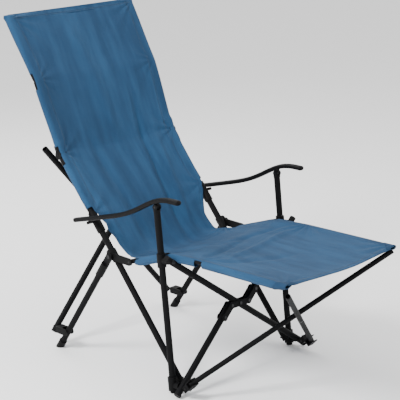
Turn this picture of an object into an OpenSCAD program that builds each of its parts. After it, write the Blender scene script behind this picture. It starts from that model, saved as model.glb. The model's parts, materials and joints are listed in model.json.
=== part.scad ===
// Folding high-back lounger with a leg rest, on a frame of round tubes.
// +X is the sitter's left, -Y is where the sitter's feet point, +Z is up, and z = 0 is the floor.
// The drawing is laid out from the line between the front feet and moved back by mid_y at the end.
// _R parts are on the sitter's right (-X); _L parts are their mirror images.

/* [Width] */
// Distance between the centres of the two front legs
front_w = 514; // [506:1:522]
// Distance between the centres of the two side rails
rail_w = 462; // [460:1:463]
// Distance between the back posts at the top
top_w = 500; // [490:1:504]

/* [Tubes] */
// Outside diameter of the main frame tubes
tube_d = 19; // [18.6:0.1:19]
// Outside diameter of the leg rest tubes
slim_d = 15.5; // [14:0.5:15.5]
// Outside diameter of the rods in the seat hems
rod_d = 14; // [10:1:14]
// Wall thickness of every tube
wall = 1.5; // [1.2:0.1:2]

/* [Front legs] */
// Length of a front leg along its own slope
leg_len = 528; // [524:1:532]
// Backward lean of the front legs in degrees
leg_lean = 6.7; // [6:0.1:7.2]
// Height of the upper pivots of the front cross along the leg
knuckle_u = 394; // [390:1:398]
// Height of the lower pivots of the front cross along the leg
hub_u = 24; // [23:1:26]

/* [Back] */
// Slope of the side rails in degrees
rail_slope = 49.4; // [49:0.1:49.8]
// Length of a side rail from its foot pivot to the back knuckle
rail_len = 764; // [760:1:766]
// Length of the lower stretch of a back post
post_low = 235; // [225:1:245]
// Length of the upper stretch of a back post
post_high = 208; // [190:1:220]

/* [Colours] */
// Painted tubes
tube_colour = "#26282b"; // [#26282b, #3a3d41]
// Moulded plastic fittings
plastic_colour = "#141517"; // [#141517, #2b2c2f]
// Rivets and pins
pin_colour = "#6b6e72"; // [#6b6e72, #8d9094]
// Fabric
fabric_colour = "#3f6f9c"; // [#3f6f9c, #35618c]

/* [Hidden] */
$fn = 48;
e = 0.01;
tube_r = tube_d / 2;
slim_r = slim_d / 2;
rod_r = rod_d / 2;
leg_x = front_w / 2;
rail_x = rail_w / 2;
pin_r = 2.98;                 // every pivot pin and rivet shank
bore_r = 3.03;                // every pin hole, 0.05 mm clear of its pin
slide_r = tube_r + 0.05;      // bore that a tube slides or sits in
mid_y = 154.6;                  // from the front feet to the middle of the length
leg_y = 3;                    // the leg's axis meets the floor here
bar_gap = 38;                 // the front cross stands this far ahead of the legs
eye_gap = 60;                 // the leg rest's hinge eye stands this far ahead of the legs
cross_u = (hub_u + knuckle_u) / 2;
bar_half = sqrt(pow(leg_x, 2) + pow((knuckle_u - hub_u) / 2, 2));
bar_slope = atan2(knuckle_u - hub_u, front_w);
plate_rivets = [[-70, -27], [-37, 1], [0, 0], [37, -1], [70, 27]];
half_slope = atan2(cross_u - hub_u + 1, leg_x - 37);
half_len = norm([leg_x - 37, cross_u - hub_u + 1]);

rail_foot = [5, 35];          // [y, z] of the side rail's foot pivot
bracket_s = 413.5;            // along the side rail to the bracket and rear leg pivot
catch_s = 533;                // along the side rail to the arm's catch
function on_line(p, a, s) = [p[0] + s * cos(a), p[1] + s * sin(a)];
function rail_pt(s) = on_line(rail_foot, rail_slope, s);
knee = rail_pt(rail_len);     // the back knuckle
post_bend = on_line(knee, 66.4, post_low);
post_top = on_line(post_bend, 57.2, post_high);
splay = atan2(top_w / 2 - rail_x - 2, post_low + post_high);
elbow = rail_pt(bracket_s);   // pivot of the rear leg
rod_pin = elbow + [-77, -1];  // pivot of the seat rod, at the front of the bracket
rear_toe = [510, 0];
rear_slope = atan2(rear_toe[1] - elbow[1], rear_toe[0] - elbow[0]);
rear_leg_len = norm(rear_toe - elbow);
rear_x = 251.5;
rear_hub_s = rear_leg_len - 72;
rear_hub_pt = on_line(elbow, rear_slope, rear_hub_s);
rear_bar_y = 527;
rear_bar_step = 21;
rear_bar_x = 250;
rear_bar_low = rear_hub_pt[1];
rear_bar_high = 622;
rear_bar_slope = atan2(rear_bar_high - rear_bar_low, 2 * rear_bar_x);
rear_bar_half = norm([rear_bar_x, (rear_bar_high - rear_bar_low) / 2]);

rest_slope = 132.1;           // slope of the leg rest's cross
rest_low = 27;                // from the hinge eye to the bars' lower pivots
rest_high = 502;              // from the hinge eye to the bars' upper ends
rest_tip_x = 238;
rest_step = 17;               // the left bar crosses this far ahead of the right bar
rest_bar_slope = atan2(rest_high - rest_low, leg_x + rest_tip_x);
rest_bar_len = norm([leg_x + rest_tip_x, rest_high - rest_low]);
rest_cross_s = leg_x / cos(rest_bar_slope);

arm_x = 263;
arm_w = 21;
arm_t = 14;
arm_pin = [66, 545];
rod_x = 233;
rod_path = [rod_pin, [45, 402], [-80, 409], [-372, 413]];

// z of the middle of an armrest: a gentle slope with a bell-shaped rise over the front leg
function arm_z(y) = 435.5 + 0.276 * (413 - y) + 32.5 * exp(-pow((y - 48) / 98, 2));

// ---- helpers ----

module placed() translate([0, -mid_y, 0]) children();
module mirrored(left) { if (left) mirror([1, 0, 0]) children(); else children(); }

// local +Z runs up the front leg, local -Y points ahead of it, and x stays sideways
module leg_frame() translate([0, leg_y, 0]) rotate([-leg_lean, 0, 0]) children();

// local +Z runs at elevation a in the side view, from the point p = [y, z]
module side_frame(p, a, x = 0) translate([x, p[0], p[1]]) rotate([a - 90, 0, 0]) children();

// local +Z runs up the leg rest from its hinge eye
module rest_frame() leg_frame() translate([0, -eye_gap, hub_u])
    rotate([rest_slope - 90 + leg_lean, 0, 0]) children();

// in an upright frame, local +Z runs at slope a in the XZ plane from the point [x, z]
module cross_frame(x, z, a, y = 0) translate([x, y, z]) rotate([0, 90 - a, 0]) children();

module tube(len, r) difference() {
    cylinder(h = len, r = r);
    translate([0, 0, -1]) cylinder(h = len + 2, r = r - wall);
}
module along_x(len, r) rotate([0, 90, 0]) cylinder(h = len, r = r, center = true);
module along_y(len, r) rotate([90, 0, 0]) cylinder(h = len, r = r, center = true);
module rivet_y(len, head = 5) {
    along_y(len, pin_r);
    for (s = [-1, 1]) translate([0, s * (len / 2 - 0.75), 0]) along_y(1.5, head);
}

// straight strip from p to q, and a flat bar with round ends, drawn in the plane
module strip2d(p, q, w) translate(p) rotate(atan2(q[1] - p[1], q[0] - p[0]))
    translate([0, -w / 2]) square([norm(q - p), w]);
module link2d(p, q, w) {
    for (c = [p, q]) translate(c) circle(d = w);
    strip2d(p, q, w);
}
// turns a drawing in [y, z] into a slab of width w centred on x
module side_slab(w, x = 0) translate([x - w / 2, 0, 0]) rotate([90, 0, 90])
    linear_extrude(w) children();

// bar from p = [y, z] at slope a, cut half way into the bends from slope `before` and to `after`
module mitred(p, a, before, after, len, r, over) side_frame(p, a) difference() {
    translate([0, 0, -4 - over]) cylinder(h = len + 8 + over, r = r);
    translate([0, 0, -over]) rotate([(before - a) / 2, 0, 0]) translate([-20, -20, -20])
        cube([40, 40, 20]);
    translate([0, 0, len]) rotate([(after - a) / 2, 0, 0]) translate([-20, -20, 0])
        cube([40, 40, 20]);
}
function path_slope(p, i) = let (j = max(0, min(i, len(p) - 2)), d = p[j + 1] - p[j]) atan2(d[1], d[0]);

function unit(v) = v / norm(v);
function path_dir(p, i) = unit(p[min(i + 1, len(p) - 1)] - p[max(i - 1, 0)]);
function path_side(p, d) = [for (i = [0 : len(p) - 1])
    p[i] + d * [-path_dir(p, i)[1], path_dir(p, i)[0]]];
function reversed(p) = [for (i = [len(p) - 1 : -1 : 0]) p[i]];
// band between two offsets of a path in [y, z]
module band(p, d0, d1) polygon(concat(path_side(p, d0), reversed(path_side(p, d1))));

// ---- front feet ----

module front_hub(left) color(plastic_colour) placed() mirrored(left) leg_frame()
    difference() {
        union() {
            translate([-leg_x, 0, 8]) cylinder(h = 40, r = 14);
            translate([-leg_x, -14, hub_u]) along_y(28.3, 10);
            translate([-leg_x + 12, -2, 35]) along_x(8, 10);
        }
        translate([-leg_x, 0, -2]) cylinder(h = 60, r = slide_r);
        translate([-leg_x, -20, hub_u]) along_y(30, bore_r);
        translate([-leg_x + 12, -2, 34.5]) along_x(30, bore_r);
    }

module hub_pins(left) color(pin_colour) placed() mirrored(left) {
    leg_frame() {
        translate([-leg_x, -(2 + eye_gap) / 2, hub_u]) along_y(eye_gap - 19, pin_r);
        translate([-leg_x, -eye_gap, hub_u]) difference() {
            along_x(16, 9);
            along_x(18, bore_r);
        }
    }
    leg_frame() translate([-leg_x + 25.5, -2, 34.5]) along_x(30, pin_r);
}

// ---- front legs ----

module front_leg(left) color(tube_colour) placed() mirrored(left) leg_frame()
    translate([-leg_x, 0, 8]) tube(leg_len, tube_r);

module leg_foot_plug(left) color(plastic_colour) placed() mirrored(left) leg_frame()
    translate([-leg_x, 0, 1.12]) {
        cylinder(h = 6.9, r = tube_r);
        cylinder(h = 24, r = tube_r - wall - 0.1);
    }

module leg_top_fork(left) color(plastic_colour) placed() mirrored(left) {
    leg_frame() translate([-leg_x, 0, leg_len - 20]) cylinder(h = 28, r = tube_r - wall - 0.1);
    difference() {
        union() {
            leg_frame() translate([-leg_x, 0, leg_len + 8]) cylinder(h = 6, r = tube_r + 1);
            for (x = [-6.7, 6.7]) side_slab(4.6, -leg_x + x) translate(arm_pin) circle(d = 17);
        }
        translate([-leg_x, arm_pin[0], arm_pin[1]]) along_x(40, bore_r);
        side_slab(8.8, -leg_x) translate(arm_pin) circle(r = 9.3);
    }
}

module front_knuckle(left) color(plastic_colour) placed() mirrored(left) leg_frame()
    difference() {
        union() {
            translate([-leg_x, 0, knuckle_u - 20]) cylinder(h = 40, r = 13);
            translate([-leg_x, -14, knuckle_u]) along_y(28.3, 10);
        }
        translate([-leg_x, 0, knuckle_u - 30]) cylinder(h = 60, r = slide_r);
        translate([-leg_x, -20, knuckle_u]) along_y(30, bore_r);
    }

module leg_pins(left) color(pin_colour) placed() mirrored(left) {
    leg_frame() translate([-leg_x, 0, knuckle_u]) {
        translate([0, -31, 0]) along_y(42, pin_r);
        translate([0, -bar_gap - tube_r - 2, 0]) along_y(2.6, 6);
    }
    translate([-leg_x, arm_pin[0], arm_pin[1]]) along_x(19, pin_r);
}

// ---- armrests ----

arm_steps = 36;
arm_path = [for (i = [0 : arm_steps]) let (y = -31 + 444 * i / arm_steps) [y, arm_z(y)]];

module arm(left) color(plastic_colour) placed() mirrored(left) difference() {
    union() {
        side_slab(arm_w, -arm_x) band(arm_path, -arm_t / 2, arm_t / 2);
        side_slab(8, -leg_x) link2d(arm_pin, [66, arm_z(66) - 2], 15);
    }
    translate([-leg_x, arm_pin[0], arm_pin[1]]) along_x(12, bore_r);
}

// ---- front cross ----

module front_bar() color(tube_colour) placed() leg_frame() difference() {
    cross_frame(leg_x, hub_u, 180 - bar_slope, -bar_gap) translate([0, 0, -24])
        tube(2 * bar_half + 42, tube_r);
    for (p = [[leg_x, hub_u], [0, cross_u], [-leg_x, knuckle_u]])
        translate([p[0], -bar_gap, p[1]]) along_y(2 * tube_d, bore_r);
}

module front_bar_ends() color(plastic_colour) placed() leg_frame() {
    cross_frame(leg_x, hub_u, 180 - bar_slope, -bar_gap) translate([0, 0, -24]) foot_cap(8.5);
    cross_frame(leg_x, hub_u, 180 - bar_slope, -bar_gap) translate([0, 0, 2 * bar_half + 18])
        top_cap();
}
module foot_cap(len) {
    translate([0, 0, -len]) cylinder(h = len, r = 10.5);
    cylinder(h = 10, r = tube_r - wall - 0.1);
}
module top_cap() {
    cylinder(h = 4, r = tube_r);
    translate([0, 0, -10]) cylinder(h = 12, r = tube_r - wall - 0.1);
}

// runs from a pivot on one leg to the plates in the middle; over is its length past the pivot
module half_bar(over) difference() {
    cross_frame(-leg_x, hub_u, half_slope, -bar_gap) translate([0, 0, -over])
        tube(half_len + over + 7, tube_r);
    for (p = [plate_rivets[0], plate_rivets[1]])
        translate([p[0], -bar_gap, cross_u + p[1]]) along_y(2 * tube_d, bore_r);
    translate([-leg_x, -bar_gap, hub_u]) along_y(2 * tube_d, bore_r);
}
module half_bar_lower() color(tube_colour) placed() leg_frame() half_bar(24);
module half_bar_upper() color(tube_colour) placed() leg_frame()
    translate([0, 0, cross_u]) rotate([0, 180, 0]) translate([0, 0, -cross_u]) half_bar(18);

module half_bar_ends() color(plastic_colour) placed() leg_frame() {
    cross_frame(-leg_x, hub_u, half_slope, -bar_gap) translate([0, 0, -24]) foot_cap(7.5);
    cross_frame(leg_x, knuckle_u, half_slope, -bar_gap) translate([0, 0, 18]) top_cap();
}

module cross_plates() color(tube_colour) placed() leg_frame()
    for (s = [-1, 1]) translate([0, -bar_gap + s * 11.05, cross_u]) rotate([90, 0, 0])
        translate([0, 0, -1.25]) linear_extrude(2.5) difference() {
            union() {
                for (i = [0 : 3]) strip2d(plate_rivets[i], plate_rivets[i + 1], 18);
                for (p = plate_rivets) translate(p) circle(r = 10.5);
            }
            for (p = plate_rivets) translate(p) circle(r = bore_r);
        }

module cross_rivets() color(pin_colour) placed() leg_frame()
    for (p = plate_rivets) translate([p[0], -bar_gap, cross_u + p[1]]) rivet_y(28);

// ---- side rails and back posts ----

module side_rail(left) color(tube_colour) placed() mirrored(left)
    difference() {
        side_frame(rail_foot, rail_slope, -rail_x) translate([0, 0, -13])
            tube(rail_len + 13, tube_r);
        leg_frame() translate([-leg_x + 25.5, -2, 34.5]) along_x(60, bore_r);
        translate([-rail_x, elbow[0], elbow[1]]) along_x(40, bore_r);
    }

module arm_catch(left) color(plastic_colour) placed() mirrored(left)
    side_frame(rail_foot, rail_slope, -rail_x) difference() {
        union() {
            translate([0, 0, catch_s - 38]) cylinder(h = 66, r = 12.8);
            translate([-22, 1, catch_s]) along_x(24, 4.6);
        }
        translate([0, 0, catch_s - 60]) cylinder(h = 120, r = slide_r);
    }

module rail_bracket(left) color(plastic_colour) placed() mirrored(left) difference() {
    union() {
        side_frame(rail_foot, rail_slope, -rail_x) translate([0, 0, bracket_s - 18])
            cylinder(h = 36, r = 12.4);
        side_slab(5.5, -243.75) {
            link2d(rod_pin, elbow, 22);
            link2d(elbow, rail_pt(bracket_s + 10), 22);
        }
    }
    side_frame(rail_foot, rail_slope, -rail_x) translate([0, 0, bracket_s - 60])
        cylinder(h = 120, r = slide_r);
    for (p = [elbow, rod_pin]) translate([-rail_x, p[0], p[1]]) along_x(60, bore_r);
}

module rail_pins(left) color(pin_colour) placed() mirrored(left) {
    translate([-238.5, elbow[0], elbow[1]]) along_x(37, pin_r);
    translate([-256.2, elbow[0], elbow[1]]) along_x(1.6, 6);
    translate([-235.5, rod_pin[0], rod_pin[1]]) along_x(22, pin_r);
}

module back_knuckle(left) color(plastic_colour) placed() mirrored(left) difference() {
    union() {
        side_frame(rail_foot, rail_slope, -rail_x) translate([0, 0, rail_len - 34])
            cylinder(h = 34, r = 12.5);
        translate([-rail_x - 1, knee[0], knee[1]]) along_x(25, 13);
        side_frame(knee, 66.4, -rail_x - 2) rotate([0, -splay, 0]) cylinder(h = 30, r = 12.5);
    }
    side_frame(rail_foot, rail_slope, -rail_x) translate([0, 0, rail_len - 60])
        cylinder(h = 60 + e, r = slide_r);
    side_frame(knee, 66.4, -rail_x - 2) rotate([0, -splay, 0]) translate([0, 0, 13])
        cylinder(h = 60, r = slide_r);
}

// follows a back post from the knuckle: its lower stretch, then its upper one past the bend
module post_frame() side_frame(knee, 66.4, -rail_x - 2) rotate([0, -splay, 0]) children();
module upper_frame() side_frame(post_bend, 57.2, -rail_x - 2 - post_low * tan(splay))
    rotate([0, -splay, 0]) children();

module back_post(left) color(tube_colour) placed() mirrored(left) {
    post_frame() translate([0, 0, 13.5]) tube(post_low - 17.5, tube_r);
    upper_frame() translate([0, 0, 4]) tube(post_high - 4, tube_r);
}

module post_fittings(left) color(plastic_colour) placed() mirrored(left) {
    plug_r = tube_r - wall - 0.1;
    post_frame() translate([0, 0, post_low - 40]) cylinder(h = 39, r = plug_r);
    upper_frame() translate([0, 0, 1]) cylinder(h = 39, r = plug_r);
    upper_frame() sphere(r = 8.8);
    upper_frame() translate([0, 0, post_high]) cylinder(h = 4, r = tube_r);
    upper_frame() translate([0, 0, post_high - 14]) cylinder(h = 16, r = plug_r);
}

// ---- rear legs ----

module rear_frame() side_frame(elbow, rear_slope, -rear_x) children();

module rear_leg(left) color(tube_colour) placed() mirrored(left) rear_frame()
    difference() {
        translate([0, 0, 36]) tube(rear_leg_len - 48, tube_r);
        translate([0, 0, rear_hub_s]) along_x(40, bore_r);
    }

module rear_leg_socket(left) color(plastic_colour) placed() mirrored(left) rear_frame()
    difference() {
        union() {
            translate([0, 0, 31]) cylinder(h = 50, r = 12);
            translate([0.5, 0, 0]) intersection() {
                along_x(8, 11.5);
                cube(60, center = true);
            }
            translate([-3.5, -11, 0]) cube([8, 22, 34]);
        }
        translate([0, 0, 36]) cylinder(h = 60, r = slide_r);
        along_x(40, bore_r);
    }

module rear_foot(left) color(plastic_colour) placed() mirrored(left) difference() {
    union() {
        rear_frame() translate([0, 0, rear_leg_len - 30]) difference() {
            cylinder(h = 48, r = 12);
            translate([0, 0, -1]) cylinder(h = 19, r = slide_r);
        }
    }
    translate([-rear_x, rear_toe[0], -50]) cube(100, center = true);
}

module rear_hub(left) color(plastic_colour) placed() mirrored(left) {
    // the left bar's pivot is the open one, so its pin stops short of the bar
    pin_end = left ? rear_bar_step - tube_r - 0.8 : tube_r + 3;
    ear_y = rear_hub_pt[0];
    difference() {
        union() {
            for (x = [-12.3, 12.3]) side_slab(4, -rear_x + x) {
                link2d([ear_y, rear_bar_low], [ear_y + 30, rear_bar_low], 20);
            }
            translate([-rear_x - 14.3, ear_y + 20, rear_bar_low - 10]) cube([28.6, 24, 20]);
        }
        translate([-rear_x, ear_y, rear_bar_low]) along_x(60, bore_r);
        translate([-rear_bar_x, ear_y + 35, rear_bar_low]) along_y(40, bore_r);
    }
    translate([-rear_x, ear_y, rear_bar_low]) along_x(30, pin_r);
    translate([-rear_bar_x, 0, rear_bar_low]) rotate([-90, 0, 0])
        translate([0, 0, ear_y + 25]) cylinder(h = rear_bar_y + pin_end - ear_y - 25, r = pin_r);
}

// ---- rear cross ----

module rear_bar(left) color(tube_colour) placed() mirrored(left)
    difference() {
        cross_frame(-rear_bar_x, rear_bar_low, rear_bar_slope,
            rear_bar_y + (left ? rear_bar_step : 0))
            translate([0, 0, -16]) tube(2 * rear_bar_half + 27, tube_r);
        for (p = [[-rear_bar_x, rear_bar_low], [0, (rear_bar_low + rear_bar_high) / 2]])
            translate([p[0], rear_bar_y + rear_bar_step / 2, p[1]]) along_y(80, bore_r);
    }

module rear_bar_rivets() color(pin_colour) placed()
    translate([0, rear_bar_y + rear_bar_step / 2, (rear_bar_low + rear_bar_high) / 2])
        rivet_y(rear_bar_step + tube_d + 4);

// ---- leg rest ----

module rest_step_y(left) translate([0, left ? -rest_step : 0, 0]) children();

module leg_rest_clevis(left) color(plastic_colour) placed() mirrored(left) rest_frame()
    translate([-leg_x, 0, 0]) {
        lift = left ? rest_step : 0;
        difference() {
            union() {
                for (x = [-11.3, 8.3]) translate([x, -9, -9]) cube([3, 18, 21]);
                translate([-11.3, -11 - lift, 10.5]) cube([22.6, 22 + lift, 4.5]);
                for (y = [-11 - lift, 8.1 - lift]) translate([-11.3, y, 14]) cube([22.6, 2.9, 24]);
            }
            along_x(40, bore_r);
            translate([0, -lift, rest_low]) along_y(40, bore_r);
        }
    }

module clevis_pins(left) color(pin_colour) placed() mirrored(left) rest_frame()
    translate([-leg_x, 0, 0]) {
        along_x(25, pin_r);
        // the left bar's pivot is the open one: a stud in each plate, and none through the bar
        if (left) for (y = [-9.6, 9.6]) translate([0, y - rest_step, rest_low]) along_y(3.4, pin_r);
        else translate([0, 0, rest_low]) along_y(25, pin_r);
    }

module leg_rest_bar(left) color(tube_colour) placed() mirrored(left) rest_frame()
    rest_step_y(left) difference() {
        cross_frame(-leg_x, rest_low, rest_bar_slope) translate([0, 0, -8.5])
            tube(rest_bar_len + 8.5, slim_r);
        for (s = [0, rest_cross_s]) cross_frame(-leg_x, rest_low, rest_bar_slope)
            translate([0, 0, s]) along_y(40, bore_r);
    }

module leg_rest_rivet() color(pin_colour) placed() rest_frame()
    translate([0, -rest_step / 2, rest_low + leg_x * tan(rest_bar_slope)])
        rivet_y(rest_step + slim_d + 4);

// ---- seat ----

module seat_rod(left) color(tube_colour) placed() mirrored(left) difference() {
    translate([-rod_x, 0, 0]) for (i = [0 : len(rod_path) - 2])
        mitred(rod_path[i], path_slope(rod_path, i), path_slope(rod_path, i - 1),
            path_slope(rod_path, i + 1), norm(rod_path[i + 1] - rod_path[i]), rod_r,
            i == 0 ? 9 : 0);
    translate([-rod_x, rod_pin[0], rod_pin[1]]) along_x(40, bore_r);
}

// The cloth lies on these paths, just ahead of the rails and posts and just above the rods.
sling_gap = 14.5;
back_path = path_side([rail_pt(446), knee, post_bend, post_top + [3, 5]], sling_gap);
seat_path = [[236, 358], [190, 362], [45, 411], [-80, 418.5], [-400, 423]];

module back_sling() color(fabric_colour) placed() {
    side_slab(486) band([back_path[0], back_path[1]], 0, 3);
    side_slab(510) band([back_path[1], back_path[2], back_path[3]], 0, 3);
}

module seat_sling() color(fabric_colour) placed() side_slab(480) band(seat_path, 0, -3);

front_hub(false);  // front_hub_R
front_hub(true);  // front_hub_L
hub_pins(false);  // hub_pins_R
hub_pins(true);  // hub_pins_L
front_leg(false);  // front_leg_R
front_leg(true);  // front_leg_L
leg_foot_plug(false);  // leg_foot_plug_R
leg_foot_plug(true);  // leg_foot_plug_L
leg_top_fork(false);  // leg_top_fork_R
leg_top_fork(true);  // leg_top_fork_L
front_knuckle(false);  // front_knuckle_R
front_knuckle(true);  // front_knuckle_L
leg_pins(false);  // leg_pins_R
leg_pins(true);  // leg_pins_L
arm(false);  // arm_R
arm(true);  // arm_L
front_bar();
front_bar_ends();
half_bar_lower();
half_bar_upper();
half_bar_ends();
cross_plates();
cross_rivets();
side_rail(false);  // side_rail_R
side_rail(true);  // side_rail_L
arm_catch(false);  // arm_catch_R
arm_catch(true);  // arm_catch_L
rail_bracket(false);  // rail_bracket_R
rail_bracket(true);  // rail_bracket_L
rail_pins(false);  // rail_pins_R
rail_pins(true);  // rail_pins_L
back_knuckle(false);  // back_knuckle_R
back_knuckle(true);  // back_knuckle_L
back_post(false);  // back_post_R
back_post(true);  // back_post_L
post_fittings(false);  // post_fittings_R
post_fittings(true);  // post_fittings_L
rear_leg(false);  // rear_leg_R
rear_leg(true);  // rear_leg_L
rear_leg_socket(false);  // rear_leg_socket_R
rear_leg_socket(true);  // rear_leg_socket_L
rear_foot(false);  // rear_foot_R
rear_foot(true);  // rear_foot_L
rear_hub(false);  // rear_hub_R
rear_hub(true);  // rear_hub_L
rear_bar(false);  // rear_bar_R
rear_bar(true);  // rear_bar_L
rear_bar_rivets();
leg_rest_clevis(false);  // leg_rest_clevis_R
leg_rest_clevis(true);  // leg_rest_clevis_L
clevis_pins(false);  // clevis_pins_R
clevis_pins(true);  // clevis_pins_L
leg_rest_bar(false);  // leg_rest_bar_R
leg_rest_bar(true);  // leg_rest_bar_L
leg_rest_rivet();
seat_rod(false);  // seat_rod_R
seat_rod(true);  // seat_rod_L
back_sling();
seat_sling();
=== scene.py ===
"""Folding high-back lounger with a leg rest: cloth, armrests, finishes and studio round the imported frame."""

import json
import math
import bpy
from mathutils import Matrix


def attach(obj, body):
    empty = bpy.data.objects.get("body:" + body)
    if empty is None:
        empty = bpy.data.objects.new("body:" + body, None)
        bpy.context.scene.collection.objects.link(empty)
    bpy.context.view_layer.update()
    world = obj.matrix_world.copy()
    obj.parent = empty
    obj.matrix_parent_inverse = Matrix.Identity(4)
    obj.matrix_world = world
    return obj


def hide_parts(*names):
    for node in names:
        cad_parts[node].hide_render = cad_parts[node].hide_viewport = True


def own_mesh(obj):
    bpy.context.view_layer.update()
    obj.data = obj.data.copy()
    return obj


bl_info = {
    "name": "Folding Lounger",
    "version": (1, 0, 0),
    "blender": (4, 5, 0),
    "location": "3D View > Sidebar > Lounger",
    "description": "Makes the cloth, armrests, finishes and studio of a folding high-back lounger",
    "category": "Add Mesh",
}

import bpy
import numpy as np
from mathutils import Vector

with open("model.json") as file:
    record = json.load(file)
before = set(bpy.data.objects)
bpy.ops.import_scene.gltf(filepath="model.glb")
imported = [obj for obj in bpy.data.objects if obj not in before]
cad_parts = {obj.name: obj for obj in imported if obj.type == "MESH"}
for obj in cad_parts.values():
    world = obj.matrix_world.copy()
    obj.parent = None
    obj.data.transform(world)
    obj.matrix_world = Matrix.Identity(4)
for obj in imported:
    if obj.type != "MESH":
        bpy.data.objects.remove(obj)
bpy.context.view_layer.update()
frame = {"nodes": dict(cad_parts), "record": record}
MID_Y = 0.1546  # from the line between the front feet to the middle of the length


# ---- shapes in the side view, in metres, as [y, z] before MID_Y is taken off ----


def out_along(point, slope, length):
    """The point plus length times the unit direction at that slope, in degrees."""
    a = math.radians(slope)
    return np.array(point) + length * np.array([math.cos(a), math.sin(a)])


def rail_point(s):
    """The point at distance s up a side rail from its foot pivot."""
    return out_along([0.005, 0.035], 49.4, s)


RAIL = 0.764  # length of a side rail up to the back knuckle's pivot
POST_LOW = 0.235  # lower stretch of a back post
POST_HIGH = 0.2185  # upper stretch, as far as the cloth's top edge
MOUTH = 0.575  # distance up the rail to the sleeves' lower ends
CREASE = rail_point(0.440)  # where the back's cloth meets the rails
KNEE = rail_point(RAIL)  # pivot of the back knuckle
BEND = out_along(KNEE, 66.4, POST_LOW)  # bend in the back post
CLOTH_TOP = out_along(BEND, 57.2, POST_HIGH)
ROD = np.array([[0.197, 0.348], [0.045, 0.402], [-0.080, 0.409], [-0.372, 0.413]])


def smooth_path(points, step=0.001, blur=0.008):
    """A polyline sampled every step and blurred with a Gaussian, its ends kept: distances, points, tangents."""
    points = np.asarray(points, float)
    run = np.r_[0, np.cumsum(np.linalg.norm(np.diff(points, axis=0), axis=1))]
    count = int(run[-1] / step) + 1
    at = np.linspace(0, run[-1], count)
    line = np.stack([np.interp(at, run, points[:, k]) for k in (0, 1)], 1)
    reach = int(4 * blur / step)
    taps = np.exp(-0.5 * (np.arange(-reach, reach + 1) * step / blur) ** 2)
    taps /= taps.sum()
    before = 2 * line[0] - line[reach:0:-1]
    after = 2 * line[-1] - line[-2 : -reach - 2 : -1]
    padded = np.concatenate([before, line, after])
    line = np.stack([np.convolve(padded[:, k], taps, "valid") for k in (0, 1)], 1)
    way = np.gradient(line, axis=0)
    way /= np.linalg.norm(way, axis=1, keepdims=True)
    return at, line, way


def knots(v, table):
    """Piecewise value through (position, value) pairs, eased between them with a cosine."""
    table = np.asarray(table, float)
    i = np.clip(np.searchsorted(table[:, 0], v) - 1, 0, len(table) - 2)
    t = np.clip((v - table[i, 0]) / (table[i + 1, 0] - table[i, 0]), 0, 1)
    t = 0.5 - 0.5 * np.cos(np.pi * t)
    return table[i, 1] * (1 - t) + table[i + 1, 1] * t


def ease(v, low, high):
    """0 below low, 1 above high, and 3t^2 - 2t^3 between."""
    t = np.clip((v - low) / (high - low), 0, 1)
    return t * t * (3 - 2 * t)


# ---- folds in cloth ----


def long_folds(x, v, seed, size):
    """Soft folds that run along the cloth: a sum of cosines across it whose phase drifts slowly along it."""
    rng = np.random.default_rng(seed)
    total = np.zeros_like(x)
    for rate in (2.2, 3.4, 5.1, 7.3, 10.5, 14.0):
        a, b, c, d = rng.uniform(0, 2 * np.pi, 4)
        drift = 1.3 * np.sin(2 * np.pi * 1.3 * v + a) + 0.8 * np.sin(2 * np.pi * 3.1 * v + b)
        fade = 0.65 + 0.35 * np.sin(2 * np.pi * 1.9 * v + c)
        total += fade * np.cos(2 * np.pi * rate * x + d + drift) / rate**0.95
    return size * total


def fan_folds(x, v, centre, reach, size, count, turn=0.0):
    """Pleats fanning out from a point: cosine of the angle, dying away as exp of minus distance over reach."""
    dx, dv = x - centre[0], v - centre[1]
    r = np.hypot(dx, dv)
    return size * ease(r, 0, 0.25 * reach) * np.exp(-r / reach) * np.cos(count * np.arctan2(dv, dx) + turn)


def crease(x, v, start, end, width, size):
    """A ridge along a line from start to end, a Gaussian across it, that dies away towards both ends."""
    start, way = np.array(start), np.array(end) - np.array(start)
    length = np.hypot(*way)
    t = ((x - start[0]) * way[0] + (v - start[1]) * way[1]) / length**2
    off = ((x - start[0]) * way[1] - (v - start[1]) * way[0]) / length
    past = 2 * np.clip(np.abs(t - 0.5), 0.25, 9) - 0.5
    return size * np.exp(-((off / width) ** 2)) * np.exp(-5 * past**2)


# ---- meshes ----


def grid_faces(rows, cols, keep):
    """Quads between the points of a rows by cols grid, only where keep is true."""
    i, j = np.meshgrid(np.arange(rows - 1), np.arange(cols - 1), indexing="ij")
    quads = np.stack([i * cols + j, i * cols + j + 1, (i + 1) * cols + j + 1, (i + 1) * cols + j], -1)
    return quads[keep]


def closed_rings(rings, sides):
    """Quads that join rings of sides points each, and the strips that fill the first and last ring."""
    i, j = np.meshgrid(np.arange(rings - 1), np.arange(sides), indexing="ij")
    k = (j + 1) % sides
    a, b = i * sides, (i + 1) * sides
    quads = np.stack([a + j, a + k, b + k, b + j], -1).reshape(-1, 4)
    m = np.arange(sides // 2 - 1)
    firsts = (0, (rings - 1) * sides)
    caps = [np.stack([f + m, f + m + 1, f + sides - 2 - m, f + sides - 1 - m], -1) for f in firsts]
    return quads, caps


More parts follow.
